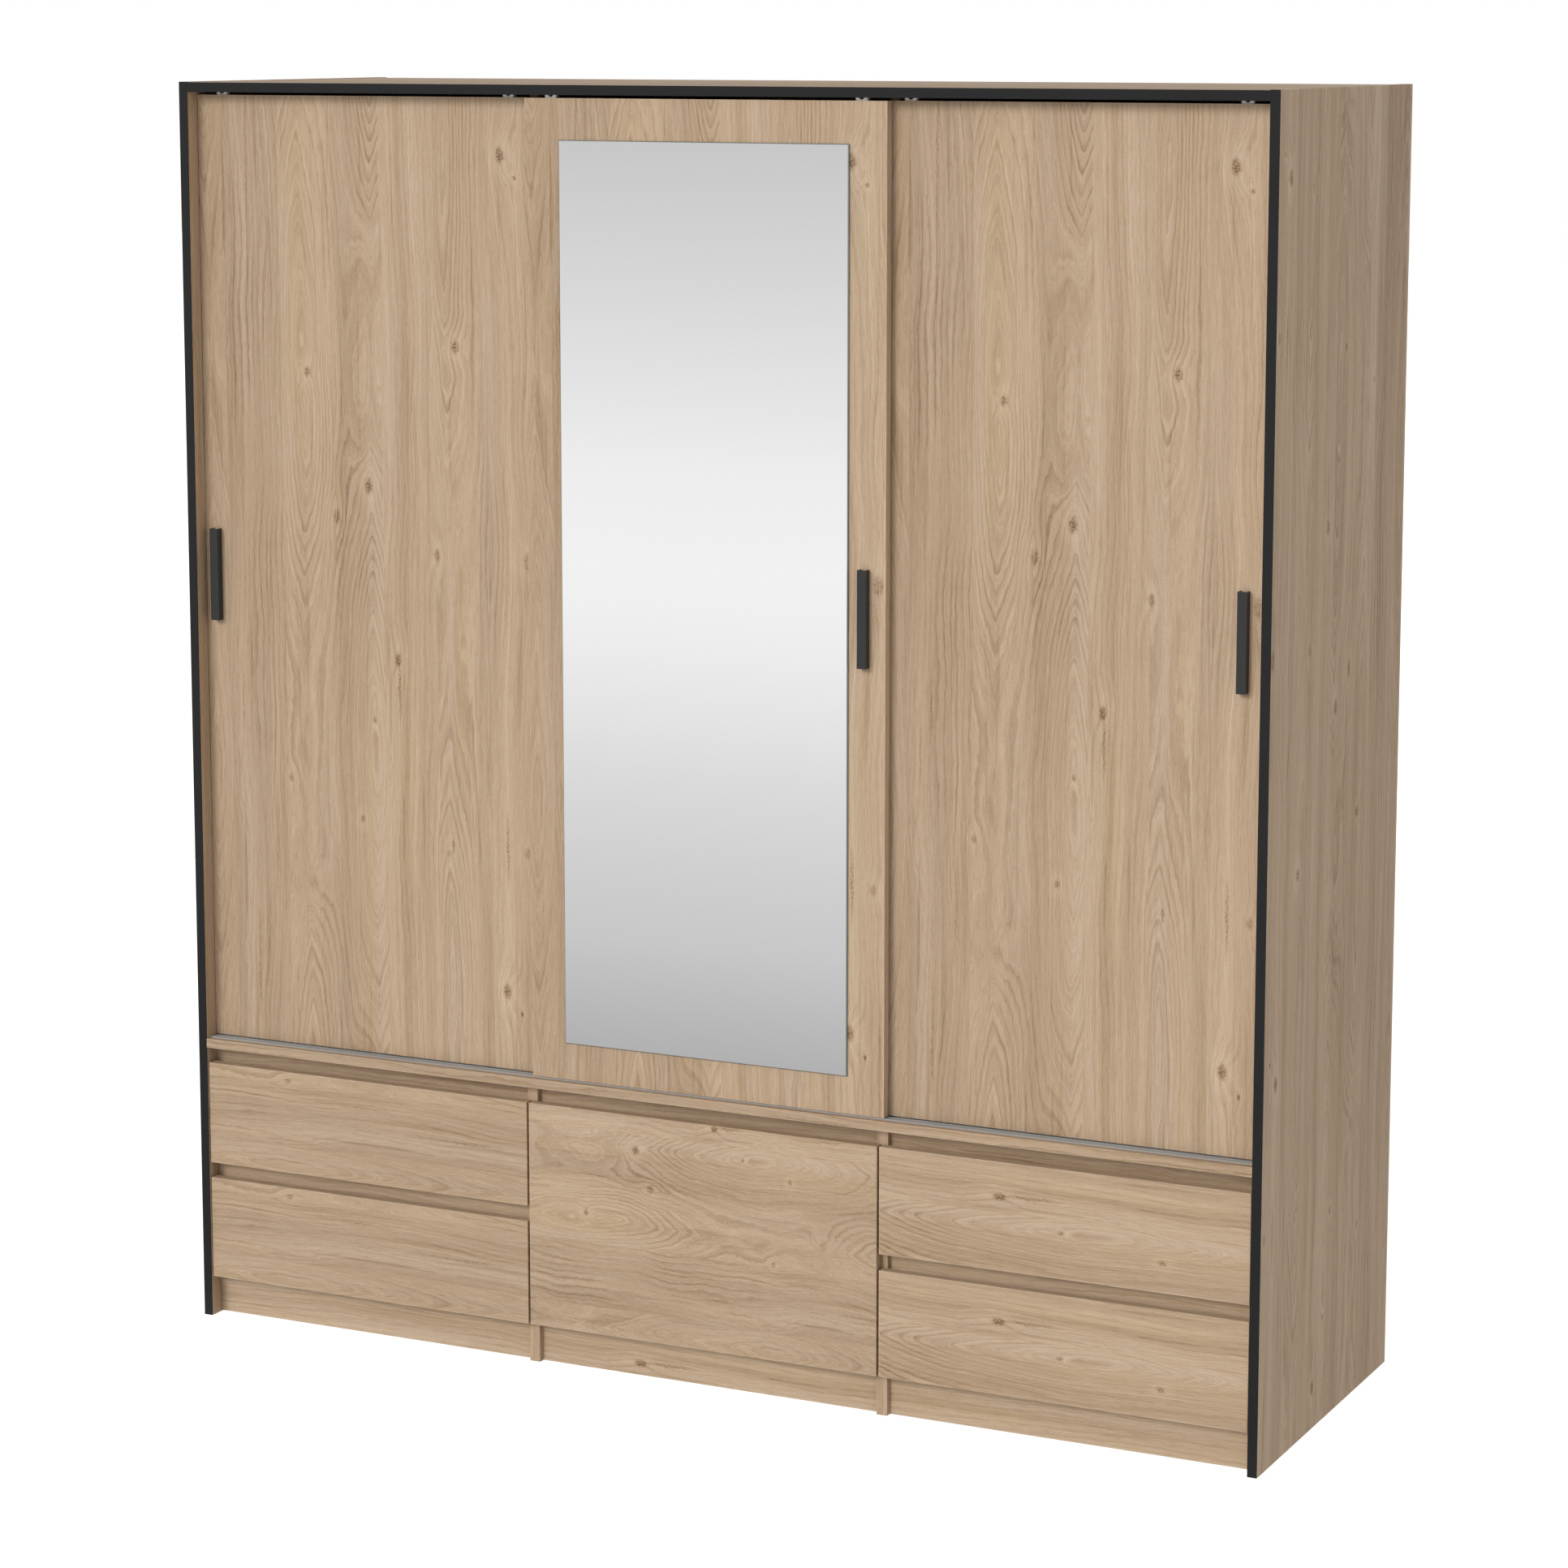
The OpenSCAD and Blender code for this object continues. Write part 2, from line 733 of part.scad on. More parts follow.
module drawer_right_upper_box() { color(sheet_grey) drawer_box(1, upper_front_z, box_h); }
module drawer_right_upper_runners() { color(zinc) moving_pair(1, upper_runner_z); }
module drawer_right_lower_front() {
    color(wood) drawer_front(1, lower_front_z, small_front_h);
}
module drawer_right_lower_box() { color(sheet_grey) drawer_box(1, lower_front_z, box_h); }
module drawer_right_lower_runners() { color(zinc) moving_pair(1, lower_runner_z); }

side_panel_left();
side_panel_right();
side_edge_strips();
top_panel();
top_edge_strip();
top_track_liners();
long_shelf();
bottom_track();
upper_divider_left();
upper_divider_right();
lower_divider_left();
lower_divider_right();
bottom_boards();
plinths();
recess_rails();
back_sheet_left();
back_sheet_middle();
back_sheet_right();
back_joint_strips();
shelves_inside();  // inner_shelves
shelf_pins();
clothes_rails();
rail_sockets();
cam_locks();
runners_fixed();
door_left_panel();
door_left_handle();
door_left_guides();
door_left_housings();
door_left_wheel_a();
door_left_wheel_b();
door_middle_panel();
door_middle_mirror();
door_middle_handle();
door_middle_guides();
door_middle_housings();
door_middle_wheel_a();
door_middle_wheel_b();
door_right_panel();
door_right_handle();
door_right_guides();
door_right_housings();
door_right_wheel_a();
door_right_wheel_b();
drawer_left_upper_front();
drawer_left_upper_box();
drawer_left_upper_runners();
drawer_left_lower_front();
drawer_left_lower_box();
drawer_left_lower_runners();
drawer_middle_front();
drawer_middle_box();
drawer_middle_runners();
drawer_right_upper_front();
drawer_right_upper_box();
drawer_right_upper_runners();
drawer_right_lower_front();
drawer_right_lower_box();
drawer_right_lower_runners();
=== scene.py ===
"""Looks of the sliding door wardrobe: finishes, small details, light and camera around the CAD frame."""

import math

import bmesh
import bpy
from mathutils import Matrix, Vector


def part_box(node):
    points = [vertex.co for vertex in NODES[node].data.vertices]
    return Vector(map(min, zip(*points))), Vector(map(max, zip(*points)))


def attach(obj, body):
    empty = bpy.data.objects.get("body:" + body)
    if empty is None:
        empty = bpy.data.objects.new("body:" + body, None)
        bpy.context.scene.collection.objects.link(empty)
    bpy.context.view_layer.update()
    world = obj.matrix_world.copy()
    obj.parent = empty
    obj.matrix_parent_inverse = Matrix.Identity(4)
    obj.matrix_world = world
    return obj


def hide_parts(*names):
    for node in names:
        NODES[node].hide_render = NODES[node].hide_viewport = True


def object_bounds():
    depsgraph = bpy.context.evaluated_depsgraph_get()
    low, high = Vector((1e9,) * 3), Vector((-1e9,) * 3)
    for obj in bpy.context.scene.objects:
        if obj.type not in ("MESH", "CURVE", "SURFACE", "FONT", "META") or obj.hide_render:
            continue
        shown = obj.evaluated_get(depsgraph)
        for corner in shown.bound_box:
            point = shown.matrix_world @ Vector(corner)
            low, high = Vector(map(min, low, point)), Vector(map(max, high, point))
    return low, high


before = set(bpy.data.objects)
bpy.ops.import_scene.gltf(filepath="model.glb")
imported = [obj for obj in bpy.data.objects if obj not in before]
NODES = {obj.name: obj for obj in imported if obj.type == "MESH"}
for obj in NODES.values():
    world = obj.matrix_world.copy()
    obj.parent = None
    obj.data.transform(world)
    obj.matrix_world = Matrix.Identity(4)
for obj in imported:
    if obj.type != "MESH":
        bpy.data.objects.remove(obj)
cad_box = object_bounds()
LOW = cad_box[0]
SIDES = ("left", "middle", "right")
X, Y, Z = 0, 1, 2


# ---------------------------------------------------------------- node tools


class Net:
    """A small helper that adds shader nodes to one tree."""

    def __init__(self, tree):
        self.tree = tree

    def add(self, kind, inputs=(), **settings):
        node = self.tree.nodes.new(kind)
        for key, value in settings.items():
            setattr(node, key, value)
        for key, value in dict(inputs).items():
            self.put(node.inputs[key], value)
        return node

    def put(self, socket, value):
        """Links an output to a socket, or sets the socket to a plain value. None leaves it alone."""
        if isinstance(value, bpy.types.NodeSocket):
            self.tree.links.new(value, socket)
        elif value is not None:
            socket.default_value = value

    def operate(self, kind, operation, values):
        node = self.add(kind, operation=operation)
        for socket, value in zip(node.inputs, values):
            self.put(socket, value)
        return node.outputs

    def math(self, operation, *values):
        return self.operate("ShaderNodeMath", operation, values)[0]

    def vec(self, operation, *values):
        outputs = self.operate("ShaderNodeVectorMath", operation, values)
        return outputs["Value" if operation == "LENGTH" else "Vector"]

    def join(self, across, along):
        return self.add("ShaderNodeCombineXYZ", {"X": across, "Y": along}).outputs[0]

    def split(self, vector):
        return self.add("ShaderNodeSeparateXYZ", {"Vector": vector}).outputs

    def object_place(self):
        """A point's place in the CAD frame, in metres, with the part at rest."""
        return self.add("ShaderNodeTexCoord").outputs["Object"]

    def span(self, value, low, high, out_low=0.0, out_high=1.0, smooth=True):
        """Maps low..high to out_low..out_high, and holds the ends."""
        node = self.add(
            "ShaderNodeMapRange",
            {"Value": value, "From Min": low, "From Max": high, "To Min": out_low, "To Max": out_high},
            interpolation_type="SMOOTHSTEP" if smooth else "LINEAR",
        )
        return node.outputs[0]

    def noise(self, vector, scale, detail=2.0, rough=0.5, dims="3D"):
        node = self.add(
            "ShaderNodeTexNoise",
            {"Vector": vector, "Scale": scale, "Detail": detail, "Roughness": rough},
            noise_dimensions=dims,
        )
        return node.outputs["Fac"]

    def ramp(self, value, stops, steps=False):
        """A colour ramp through (place, colour) stops, or with a step at each of them."""
        node = self.add("ShaderNodeValToRGB", {"Fac": value})
        bar = node.color_ramp
        bar.interpolation = "CONSTANT" if steps else "LINEAR"
        bar.elements[0].position, bar.elements[0].color = stops[0][0], (*stops[0][1], 1)
        bar.elements[1].position, bar.elements[1].color = stops[-1][0], (*stops[-1][1], 1)
        for place, colour in stops[1:-1]:
            bar.elements.new(place).color = (*colour, 1)
        return node.outputs[0]


def tone(*screen):
    """A colour given as screen values above 10 and up to 255, as the linear values that nodes take."""
    return tuple(((level / 255 + 0.055) / 1.055) ** 2.4 for level in screen)


def blank(name):
    """A new material with its output and Principled shader."""
    mat = bpy.data.materials.new(name)
    mat.use_nodes = True
    mat.node_tree.nodes.clear()
    net = Net(mat.node_tree)
    shader = net.add("ShaderNodeBsdfPrincipled")
    net.add("ShaderNodeOutputMaterial", {"Surface": shader.outputs[0]})
    return mat, net, shader


def bump(net, shader, height, distance, strength=1.0):
    node = net.add("ShaderNodeBump", {"Height": height, "Distance": distance, "Strength": strength})
    net.put(shader.inputs["Normal"], node.outputs[0])


# ---------------------------------------------------------------- wood decor

# All boards are cut from one printed sheet. Its coordinates are metres across and along the grain.
REPEAT = 1.303   # the sheet repeats along the grain
SEAM = 0.25      # and its repeat is cut here, clear of any knot or streak
SHEET = 0.62     # the width after which its strips repeat
LINES = 185.0    # growth rings per metre, straight across a strip

# Strips of the sheet: left edge, heart line, centre of the heart's ovals along the grain (all in metres),
# how many rings the ovals swing by, lightness, warmth and how clear the rings are
STRIPS = (
    (0.000, 0.012, 1.000, 9.0, 0.46, 0.50, 0.90),
    (0.042, -0.20, 0.300, 0.8, 0.44, 0.34, 1.00),
    (0.145, 0.184, 0.400, 8.5, 0.53, 0.56, 0.95),
    (0.240, 0.311, 1.040, 15.0, 0.49, 0.52, 1.00),
    (0.328, 0.620, 0.100, 1.5, 0.52, 0.56, 0.75),
    (0.425, 0.446, 0.128, 8.0, 0.51, 0.50, 1.00),
    (0.520, 0.455, 0.600, 5.0, 0.55, 0.50, 0.80),
)
EDGE, HEART, OVALS, SWING, LIGHT, WARM, CLEAR = range(7)

# Knots and streaks: place across and along, radius (metres), shortness along the grain, how many rings
# they pull, and darkness
KNOTS = (
    (0.545, 0.088, 0.0070, 0.60, 2.6, 0.85),
    (0.571, 0.122, 0.0028, 0.60, -0.8, 0.70),
    (0.463, 0.382, 0.0070, 0.75, 3.2, 0.75),
    (0.194, 0.430, 0.0060, 0.75, 2.6, 0.70),
    (0.304, 0.606, 0.0062, 0.50, -3.0, 0.80),
    (0.245, 0.656, 0.0060, 0.50, 2.2, 0.45),
    (0.427, 0.707, 0.0055, 0.60, 2.2, 0.50),
    (0.354, 0.878, 0.0055, 0.50, 2.0, 0.75),
    (0.356, 0.925, 0.0028, 0.06, 0.0, 0.50),
    (0.310, 0.976, 0.0030, 0.60, 1.2, 0.45),
    (0.176, 1.035, 0.0090, 0.40, -3.4, 0.16),
    (0.152, 1.080, 0.0042, 0.60, 1.6, 0.50),
    (0.285, 1.137, 0.0042, 0.60, 1.2, 0.60),
    (0.192, 1.248, 0.0090, 0.70, 3.4, 0.22),
    (0.450, 1.167, 0.0026, 0.25, 0.8, 0.60),
    (0.549, 1.160, 0.0026, 0.05, 0.0, 0.60),
    (0.583, 1.168, 0.0050, 0.55, 1.8, 0.45),
    (0.082, 0.900, 0.0022, 0.04, 0.0, 0.30),
    (0.590, 0.711, 0.0090, 0.60, 2.4, 0.60),
    (0.588, 0.750, 0.0070, 0.18, 0.0, 0.25),
    (0.087, 0.087, 0.0022, 0.022, 0.0, 0.30),
    (0.085, 1.215, 0.0018, 0.035, 0.0, 0.22),
    (0.065, 0.965, 0.0018, 0.035, 0.0, 0.25),
    (0.124, 1.225, 0.0018, 0.035, 0.0, 0.22),
)
KNOT_PULL_REACH = 8.0   # radii within which a knot bends the rings
KNOT_GRAIN = 330.0      # waves per metre that break up a knot's dark core
KNOT_GLOW = 0.17        # how much lighter the wood round a knot is, next to the knot's darkness

STRIP_LEAN = 0.006      # metres that a strip's edge wanders
HEART_DRIFT = 0.016     # metres that a heart line wanders
HEART_ROUND = 0.00001   # square metres: rounds the rings where they turn at the heart line
KNOT_BLUR = 0.006       # metres that a knot's outline wanders
# Waves that bend the rings: per metre across and along, detail, how many rings they bend them by, and
# whether each strip has its own
BENDS = ((7.0, 1.6, 2.0, 9.0, True), (28.0, 6.0, 2.0, 2.0, True), (120.0, 40.0, 1.0, 0.7, False))

# How far each feature moves the tone. The first five lie about a middle, the rest darken.
BANDS_TONE, GROUPED_TONE, LINES_TONE, FIBRE_TONE, DUST_TONE = 0.35, 0.21, 0.38, 0.22, 0.13
LATE_TONE, PORES_TONE, DASHES_TONE, KNOT_TONE = -0.18, -0.05, -0.11, -0.55
MIDDLE = 0.5            # what noise gives on average

OAK_TONES = (
    (0.00, tone(92, 66, 45)),
    (0.20, tone(136, 109, 84)),
    (0.40, tone(167, 141, 114)),
    (0.60, tone(187, 161, 135)),
    (0.80, tone(205, 181, 155)),
    (1.00, tone(216, 194, 168)),
)
OAK_TINTS = ((0.2, (0.985, 1.003, 1.018)), (0.8, (1.003, 1.003, 0.958)))  # cool to warm

HIGHLIGHT_REACH = 0.0016           # how far the painted highlight on a board's arrises reaches
HIGHLIGHT_TONE = 0.10        # and how much lighter it is
HIGHLIGHT_PATCHES = 60.0     # waves per metre of the patches the highlight is painted in
OAK_ROUGH = (0.6, 0.48)  # roughness of the darkest and of the lightest wood
OAK_SPECULAR = 0.1
OAK_DEPTH = 0.0001      # metres that the pores and fibres are deep


def new_group(name, vectors, numbers, results):
    """A node group with these sockets: its net, its inputs and its outputs."""
    group = bpy.data.node_groups.new(name, "ShaderNodeTree")
    for title in vectors:
        group.interface.new_socket(title, in_out="INPUT", socket_type="NodeSocketVector")
    for title in numbers:
        group.interface.new_socket(title, in_out="INPUT", socket_type="NodeSocketFloat")
    for title in results:
        group.interface.new_socket(title, in_out="OUTPUT", socket_type="NodeSocketFloat")
    net = Net(group)
    return net, net.add("NodeGroupInput").outputs, net.add("NodeGroupOutput").inputs


def knot_group():
    """Adds one knot to the ring field and to the dark mask."""
    numbers = ("Size", "Pull", "Dark", "Field", "Mask")
    net, take, give = new_group("knot", ("Point", "Place", "Shape"), numbers, ("Field", "Mask"))
    away = net.vec("MULTIPLY", net.vec("SUBTRACT", take["Point"], take["Place"]), take["Shape"])
    reach = net.math("DIVIDE", net.vec("LENGTH", away), take["Size"])
    hill = net.span(reach, 0.0, KNOT_PULL_REACH, 1.0, 0.0)
    hill = net.math("MULTIPLY", hill, hill)
    net.put(give["Field"], net.math("MULTIPLY_ADD", hill, take["Pull"], take["Field"]))
    broken = net.span(net.noise(take["Point"], KNOT_GRAIN, 2.0, 0.6, "2D"), 0.36, 0.6, 0.25, 1.0)
    core = net.math("MULTIPLY", net.span(reach, 0.45, 1.3, 1.0, 0.0), broken)
    glow = net.math("MULTIPLY", net.span(reach, 1.0, 4.5, KNOT_GLOW, 0.0), net.span(reach, 0.9, 1.6))
    mark = net.math("MULTIPLY", net.math("SUBTRACT", core, glow), take["Dark"])
    net.put(give["Mask"], net.math("ADD", take["Mask"], mark))
    return net.tree


def decor_group(knot):
    """The printed oak decor at a point of the sheet: tone, warmth and height."""
    net, take, give = new_group("oak_decor", ("Point",), (), ("Tone", "Warmth", "Height"))
    point = take["Point"]
    across, along = net.split(point)[:2]

    def streaks(waves_across, waves_along, detail=2.0, rough=0.5, base=point):
        """Noise with so many waves per metre across and along the grain."""
        place = net.vec("MULTIPLY", base, (waves_across, waves_along, 0.0))
        return net.noise(place, 1.0, detail, rough, "2D")

    def wander(value, reach, start=None):
        """Noise as metres to either side of `start`."""
        if start is None:
            return net.math("MULTIPLY_ADD", value, reach, -reach / 2)
        return net.math("SUBTRACT", net.math("MULTIPLY_ADD", value, reach, start), reach / 2)

    on_sheet = net.math("FLOORED_MODULO", across, SHEET)
    past_seam = net.math("FLOORED_MODULO", net.math("SUBTRACT", along, SEAM), REPEAT)
    leaning = net.math("ADD", on_sheet, wander(streaks(3.0, 2.5), STRIP_LEAN))
    strip_place = net.math("DIVIDE", leaning, SHEET)

    def by_strip(column, low, high):
        """A column of STRIPS, whose values lie from low to high, at each point."""
        stops = [(strip[EDGE] / SHEET, [(strip[column] - low) / (high - low)] * 3) for strip in STRIPS]
        return net.span(net.ramp(strip_place, stops, steps=True), 0.0, 1.0, low, high, smooth=False)

    heart, ovals = by_strip(HEART, -0.2, 0.7), by_strip(OVALS, 0.0, REPEAT)
    swing, light = by_strip(SWING, 0.0, 15.0), by_strip(LIGHT, 0.0, 1.0)
    warm, clear = by_strip(WARM, 0.0, 1.0), by_strip(CLEAR, 0.0, 1.0)

    # each strip takes its own piece of noise
    seeded = net.vec("ADD", point, net.join(light, net.math("MULTIPLY", heart, 9.0)))

    # the growth rings: ovals about the heart line, bent by noise and by the knots
    off_heart = net.math("SUBTRACT", on_sheet, heart)
    off_heart = wander(streaks(2.0, 3.0, 1.0, base=seeded), HEART_DRIFT, off_heart)
    ridge = net.math("SQRT", net.math("MULTIPLY_ADD", off_heart, off_heart, HEART_ROUND))
    swell = net.math("COSINE", net.math("MULTIPLY", net.math("SUBTRACT", along, ovals), math.tau / REPEAT))
    swell = net.math("MULTIPLY", swell, swing)
    swell = net.math("MULTIPLY", swell, net.span(ridge, 0.006, 0.055, -1.0, -0.35))
    field = net.math("MULTIPLY_ADD", ridge, LINES, swell)
    for waves_across, waves_along, detail, rings, own in BENDS:
        bend = streaks(waves_across, waves_along, detail, base=seeded if own else point)
        field = net.math("MULTIPLY_ADD", bend, rings, field)
    blur = wander(streaks(160.0, 110.0), KNOT_BLUR)
    down_sheet = net.math("ADD", past_seam, SEAM)
    spot = net.join(net.math("ADD", on_sheet, blur), net.math("ADD", down_sheet, blur))
    mask = 0.0
    for knot_across, knot_along, size, short, pull, dark in KNOTS:
        place = (knot_across, knot_along + (REPEAT if knot_along < SEAM else 0.0), 0.0)
        node = net.add("ShaderNodeGroup", node_tree=knot)
        for key, value in (("Point", spot), ("Place", place), ("Shape", (1.0, short, 0.0)), ("Size", size),
                           ("Pull", pull), ("Dark", dark), ("Field", field), ("Mask", mask)):
            net.put(node.inputs[key], value)
        field, mask = node.outputs["Field"], node.outputs["Mask"]

    def ring_noise(waves_per_ring, waves_along, rough):
        at = net.join(net.math("MULTIPLY", field, waves_per_ring), net.math("MULTIPLY", along, waves_along))
        return net.noise(at, 1.0, 2.0, rough, "2D")

    # what the tone is made of: tones that follow the rings, dark late wood, broad bands, fibres and pores
    grouped = ring_noise(0.22, 0.7, 0.5)
    lines = ring_noise(1.5, 1.6, 0.7)
    ring = net.math("FRACT", net.math("MULTIPLY", field, 0.5))
    late = net.math("MULTIPLY", net.span(ring, 0.45, 0.9), net.span(ring, 0.9, 1.0, 1.0, 0.0))
    drawn = net.math("MULTIPLY_ADD", clear, 2.0, net.span(streaks(11.0, 2.2), 0.35, 0.65, -2.0, -1.0))
    late = net.math("MULTIPLY", late, net.add("ShaderNodeClamp", {"Value": drawn}).outputs[0])
    bands = streaks(16.0, 0.45, 3.0, 0.6)
    fibre = streaks(420.0, 26.0, 2.0, 0.6)
    pores = net.span(streaks(620.0, 70.0, 1.0), 0.55, 0.72)
    dust = streaks(540.0, 420.0, 1.0)
    dashes = net.span(streaks(120.0, 3.0, 1.0), 0.62, 0.78)

    shade = net.math("MULTIPLY_ADD", light, 0.9, 0.15)
    for value, gain in ((bands, BANDS_TONE), (grouped, GROUPED_TONE), (lines, LINES_TONE),
                        (fibre, FIBRE_TONE), (dust, DUST_TONE)):
        shade = net.math("MULTIPLY_ADD", net.math("SUBTRACT", value, MIDDLE), gain, shade)
    for value, gain in ((late, LATE_TONE), (pores, PORES_TONE), (dashes, DASHES_TONE), (mask, KNOT_TONE)):
        shade = net.math("MULTIPLY_ADD", value, gain, shade)
    net.put(give["Tone"], shade)
    hue = net.math("SUBTRACT", streaks(34.0, 0.8, base=seeded), MIDDLE)
    net.put(give["Warmth"], net.math("MULTIPLY_ADD", hue, 1.6, warm))
    height = net.math("MULTIPLY_ADD", pores, -0.8, fibre)
    net.put(give["Height"], net.math("MULTIPLY_ADD", late, 0.3, height))
    return net.tree


OAK = decor_group(knot_group())


def painted_arris_mask(net, here, low, high):
    """Where the painted arris highlight lies: 1 on a board's arrises and 0 further in than its reach, by how
    near two faces of its box are at once.
    """
    inward = net.vec("MINIMUM", net.vec("SUBTRACT", here, tuple(low)), net.vec("SUBTRACT", tuple(high), here))
    x, y, z = net.split(inward)
    either = net.math("MINIMUM", net.math("MAXIMUM", x, y), z)
    nearest_two = net.math("MAXIMUM", net.math("MINIMUM", x, y), either)
    return net.span(nearest_two, HIGHLIGHT_REACH * 0.3, HIGHLIGHT_REACH, 1.0, 0.0)


def decor(name, along, corner, cut, scale, box):
    """Oak decor with its grain along one axis. The board's corner lies at `cut` on the sheet."""
    mat, net, shader = blank(name)
    here = net.object_place()
    part = net.split(net.vec("SUBTRACT", here, corner))
    first, second = [axis for axis in (X, Y, Z) if axis != along]
    across = net.math("MULTIPLY_ADD", net.math("ADD", part[first], part[second]), scale[0], cut[0])
    length = net.math("MULTIPLY_ADD", part[along], scale[1], cut[1])
    grain = net.add("ShaderNodeGroup", {"Point": net.join(across, length)}, node_tree=OAK).outputs
    shade = grain["Tone"]
    if box:
        # painted highlight: the arrises are made lighter in patches, as light catching their rounded edges
        # would make them
        patches = net.span(net.noise(here, HIGHLIGHT_PATCHES), 0.3, 0.6)
        lit_arris = net.math("MULTIPLY", painted_arris_mask(net, here, *box), patches)
        shade = net.math("MULTIPLY_ADD", lit_arris, HIGHLIGHT_TONE, shade)
    plain, tint = net.ramp(shade, OAK_TONES), net.ramp(grain["Warmth"], OAK_TINTS)
    net.put(shader.inputs["Base Color"], net.vec("MULTIPLY", plain, tint))
    net.put(shader.inputs["Roughness"], net.span(shade, 0.2, 0.9, *OAK_ROUGH, smooth=False))
    shader.inputs["Specular IOR Level"].default_value = OAK_SPECULAR
    bump(net, shader, grain["Height"], OAK_DEPTH, 0.6)
    return mat


# ---------------------------------------------------------------- other finishes

COAT_DRIFT, METAL_DRIFT = 7.0, 5.0              # waves per metre of the slow changes in tone
ACROSS_BRUSH, ALONG_BRUSH = 2600.0, 14.0        # waves per metre of drawn lines
COAT_DEPTH, BRUSH_DEPTH = 0.00005, 0.00002      # metres

def two_tones(net, shader, mixed, colour, spread):
    """A base colour that follows a noise and strays by `spread` to both sides of `colour`."""
    dark = tuple(level * (1 - spread) for level in colour)
    light = tuple(min(1.0, level * (1 + spread)) for level in colour)
    net.put(shader.inputs["Base Color"], net.ramp(mixed, ((0.3, dark), (0.7, light))))


def speckled(name, colour, rough, grain=900.0, spread=0.12, metallic=0.0, specular=0.5):
    """A coated or moulded surface: one colour that drifts a little, a fine texture, and a broken gloss."""
    mat, net, shader = blank(name)
    here = net.object_place()
    drift = net.noise(here, COAT_DRIFT, 3.0)
    fine = net.noise(here, grain, 2.0, 0.6)
    mixed = net.math("MULTIPLY_ADD", drift, 0.6, net.math("MULTIPLY", fine, 0.4))
    two_tones(net, shader, mixed, colour, spread)
    net.put(shader.inputs["Roughness"], net.span(mixed, 0.25, 0.75, rough - 0.06, rough + 0.08, smooth=False))
    shader.inputs["Metallic"].default_value = metallic
    shader.inputs["Specular IOR Level"].default_value = specular
    bump(net, shader, fine, COAT_DEPTH)
    return mat


def brushed(name, colour, rough, along, spread=0.16, metallic=1.0):
    """Metal with fine drawn lines along one axis."""
    mat, net, shader = blank(name)
    here = net.object_place()
    waves = [ACROSS_BRUSH] * 3
    waves[along] = ALONG_BRUSH
    lines = net.noise(net.vec("MULTIPLY", here, waves), 1.0, 2.0, 0.6)
    drift = net.noise(here, METAL_DRIFT)
    mixed = net.math("MULTIPLY_ADD", drift, 0.35, net.math("MULTIPLY", lines, 0.65))
    two_tones(net, shader, mixed, colour, spread)
    net.put(shader.inputs["Roughness"], net.span(mixed, 0.2, 0.8, rough - 0.08, rough + 0.1, smooth=False))
    shader.inputs["Metallic"].default_value = metallic
    bump(net, shader, lines, BRUSH_DEPTH)
    return mat


# ---------------------------------------------------------------- materials by node


def named(start, end):
    return [name for name in NODES if name.startswith(start) and name.endswith(end)]


PANELS, HANDLES, FRONTS = named("door_", "_panel"), named("door_", "_handle"), named("drawer_", "_front")
STRIPS_BLACK = ["side_edge_strips", "top_edge_strip"]
DIVIDERS = ["upper_divider_left", "upper_divider_right", "lower_divider_left", "lower_divider_right"]
CARCASS_BOARDS = ["side_panel_left", "side_panel_right", "top_panel", "plinths", "recess_rails", "long_shelf",
                  "inner_shelves", "bottom_boards"]


def paint(names, mat):
    for name in names:
        for place in NODES[name].material_slots:
            place.material = mat


def board(names, title, along, cut, corner=None, scale=(1.0, 1.0)):
    """Cuts boards from the sheet. Without a corner, the first board's lowest corner lies at `cut`."""
    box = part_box(names[0])
    place = tuple(corner or box[0])
    paint(names, decor(title, along, place, cut, scale, box if len(names) == 1 else None))


# A door's left edge lies on the sheet's edge and its top on the sheet's start. Drawer fronts lie along it.
for side in SIDES:
    name = f"door_{side}_panel"
    low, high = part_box(name)
    board([name], f"decor_door_{side}", Z, (0.0, 0.0), (low.x, low.y, high.z), (1.0, -1.0))
low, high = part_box("side_panel_right")
board(["side_panel_right"], "decor_side_right", Z, (0.596, 0.814), (high.x, low.y, 0.0), (-1.0, 1.0))
board(["side_panel_left"], "decor_side_left", Z, (0.02, 0.25))
board(["drawer_middle_front"], "decor_front_middle", X, (0.0, 0.228), scale=(1.0, 2.0))
for side, cut in (("left", (0.0, 0.930)), ("right", (0.240, 0.681))):
    for level in ("upper", "lower"):
        board([f"drawer_{side}_{level}_front"], f"decor_front_{side}_{level}", X, cut)
board(["top_panel"], "decor_top", X, (0.01, 0.55))
board(["long_shelf"], "decor_long_shelf", X, (0.085, 0.30))
board(["plinths"], "decor_plinths", X, (0.335, 0.10))
board(["recess_rails"], "decor_rails", X, (0.52, 0.40))
board(DIVIDERS, "decor_dividers", Z, (0.05, 0.30), (0.0, LOW.y, 0.0))
board(["bottom_boards", "inner_shelves"], "decor_shelves", X, (0.10, 0.70), LOW)

paint(STRIPS_BLACK, speckled("edge_band_black", tone(34, 34, 34), 0.5, spread=0.1, specular=0.25))
paint(HANDLES, speckled("handle_black", tone(50, 50, 50), 0.45, grain=1500.0, spread=0.1, specular=0.35))
paint(["bottom_track"], brushed("track_metal", tone(172, 170, 167), 0.42, X, metallic=0.25))
